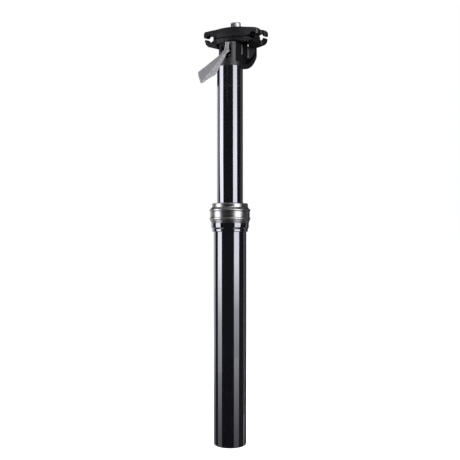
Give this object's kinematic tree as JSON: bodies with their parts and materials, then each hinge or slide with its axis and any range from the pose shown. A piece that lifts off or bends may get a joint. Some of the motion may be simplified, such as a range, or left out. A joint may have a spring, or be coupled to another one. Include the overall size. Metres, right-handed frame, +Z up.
{
  "type": "dropper seatpost",
  "caption": "Telescopic bicycle seatpost with a gas spring, a hand lever under the saddle, a threaded collar and a set-back two-jaw clamp for saddle rails.",
  "frame": {"origin": "centre of the lower end of the lower tube", "axes": "+Z up the post towards the saddle, -Y to the front (lever side), +Y to the rear (set-back side), +X to the rider's right"},
  "size_m": [0.0556, 0.1148, 0.4119],
  "materials": {
    "gloss_black_tube": "gloss black anodised aluminium",
    "gunmetal_collar": "polished gunmetal anodised aluminium",
    "satin_black_forging": "satin black anodised forging",
    "silver_lever": "satin silver aluminium",
    "plain_aluminium": "turned aluminium",
    "bright_steel": "turned bright steel",
    "spring_steel": "blackened spring steel",
    "key_brass": "plain brass",
    "bush_plastic": "black bearing plastic",
    "black_rubber": "black seal rubber"
  },
  "bodies": {
    "lower": {"outer_tube": "gloss_black_tube", "tube_head": "gloss_black_tube", "collar_nut": "gunmetal_collar", "wiper_cap": "gunmetal_collar", "wiper_seal": "black_rubber", "collar_oring": "black_rubber", "upper_bush": "bush_plastic", "bottom_plug": "plain_aluminium", "plug_circlip": "spring_steel", "gas_rod": "bright_steel", "rod_washer": "bright_steel", "rod_nut": "bright_steel", "bottom_bumper": "black_rubber", "gas_piston": "plain_aluminium", "piston_seal": "black_rubber"},
    "upper": {"stanchion": "gloss_black_tube", "head": "satin_black_forging", "lower_bush": "bush_plastic", "rotation_keys": "key_brass", "gas_cylinder": "plain_aluminium", "rod_gland": "plain_aluminium", "gland_seal": "black_rubber", "cylinder_circlip": "spring_steel", "valve_body": "plain_aluminium", "valve_oring": "black_rubber", "lever_pin": "spring_steel", "lever_spacers": "bush_plastic"},
    "valve": {"valve_pin": "bright_steel"},
    "lever": {"lever": "silver_lever"},
    "cradle": {"lower_clamp": "satin_black_forging", "bolt_washer": "bright_steel"},
    "jaw": {"upper_clamp": "satin_black_forging", "clamp_nut": "bright_steel"},
    "bolt": {"clamp_bolt": "bright_steel"}
  },
  "joints": [
    {"name": "post_drop", "type": "slide", "parent": "lower", "child": "upper", "axis": [0, 0, 1], "range_m": [-0.125, 0], "stiffness_N_per_m": 300, "springref_m": 0.35},
    {"name": "lever_pull", "type": "hinge", "parent": "upper", "child": "lever", "pos_m": [0, -0.0062, 0.3826], "axis": [-1, 0, 0], "range_deg": [0, 12], "stiffness_Nm_per_rad": 0.3, "springref_deg": -11.46},
    {"name": "valve_press", "type": "slide", "parent": "upper", "child": "valve", "axis": [0, 0, -1], "range_m": [0, 0.0013]},
    {"name": "clamp_tilt", "type": "hinge", "parent": "upper", "child": "cradle", "pos_m": [0, 0.0186, 0.3962], "axis": [1, 0, 0], "range_deg": [-8, 6]},
    {"name": "bolt_turn", "type": "hinge", "parent": "cradle", "child": "bolt", "pos_m": [0, 0.0186, 0.3962], "axis": [0, 0.1478, -0.989], "range_deg": [0, 1440]},
    {"name": "jaw_lift", "type": "slide", "parent": "cradle", "child": "jaw", "axis": [0, -0.1478, 0.989], "range_m": [0, 0.005]}
  ],
  "couplings": [
    {"joint": "valve_press", "follows": "lever_pull", "m_per_rad": 0.0062},
    {"joint": "jaw_lift", "follows": "bolt_turn", "m_per_rad": 0.0001989}
  ]
}
